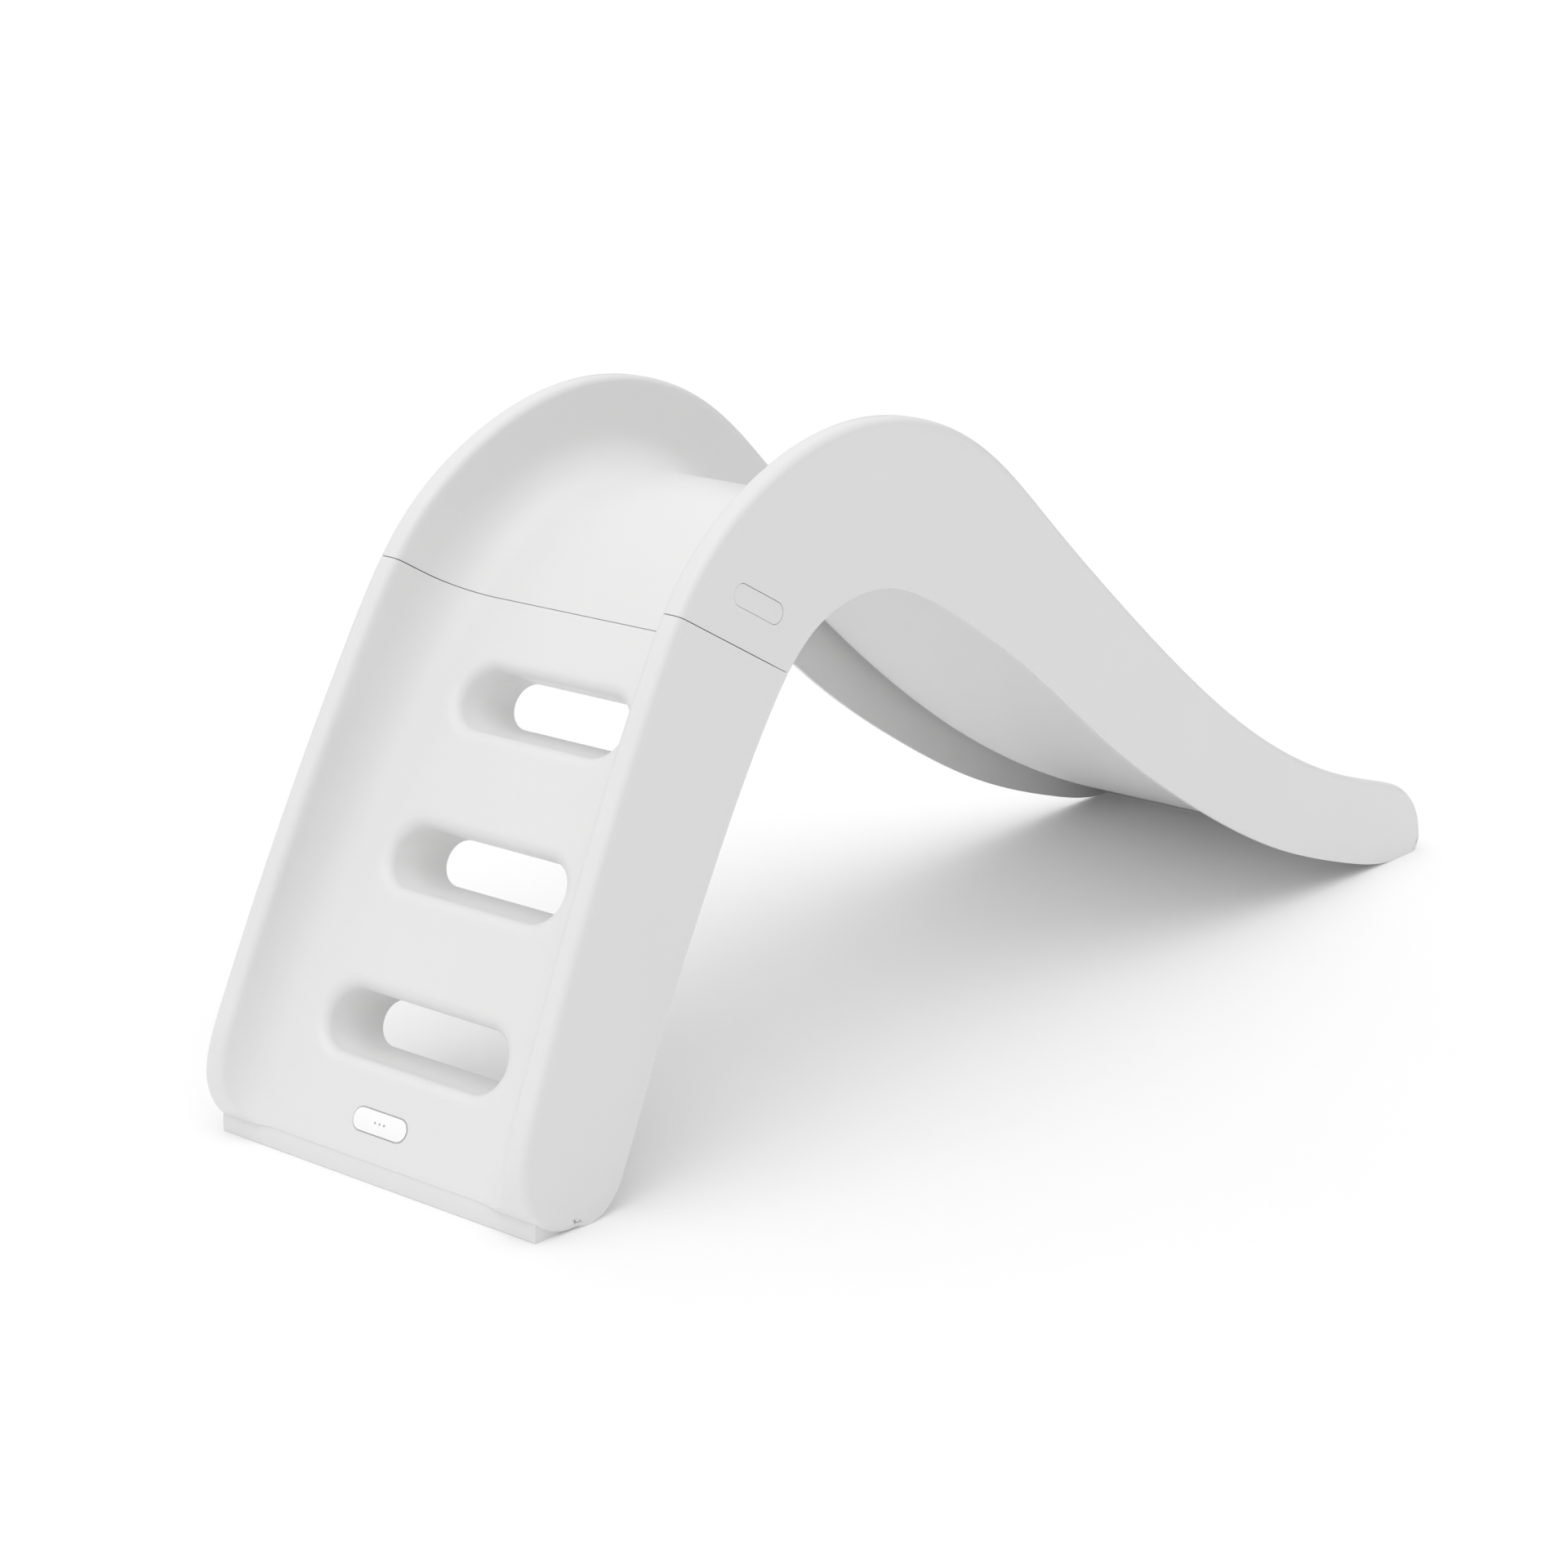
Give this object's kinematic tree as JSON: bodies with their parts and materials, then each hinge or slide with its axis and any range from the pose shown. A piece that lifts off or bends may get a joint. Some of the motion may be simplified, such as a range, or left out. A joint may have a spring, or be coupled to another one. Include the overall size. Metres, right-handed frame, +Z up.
{
  "type": "play slide",
  "caption": "Free-standing toddler slide in two plugged-together mouldings: a ladder with rung slots and an arched chute, locked by two pill-shaped side keys.",
  "frame": {"origin": "on the floor, in the middle of the overall length and width", "axes": "+X from the ladder to the toe of the chute, +Z up"},
  "size_m": [1.57, 0.436, 0.68],
  "materials": {
    "moulding": "satin moulded polyethylene",
    "key": "satin moulded polyethylene",
    "badge": "smooth gloss plate with a thin grey border",
    "pad": "matt grip rubber"
  },
  "bodies": {
    "slide": {"ladder_shell": "moulding", "chute_shell": "moulding", "badge_plate": "badge", "leg_pad_left": "pad", "leg_pad_right": "pad", "toe_pad_left": "pad", "toe_pad_right": "pad"},
    "key_left": {"lock_key_left": "key"},
    "key_right": {"lock_key_right": "key"}
  },
  "joints": [
    {"name": "key_left_pull", "type": "slide", "parent": "slide", "child": "key_left", "axis": [0, 0.9993, 0.0384], "range_m": [0, 0.024]},
    {"name": "key_right_pull", "type": "slide", "parent": "slide", "child": "key_right", "axis": [0, -0.9993, 0.0384], "range_m": [0, 0.024]}
  ]
}
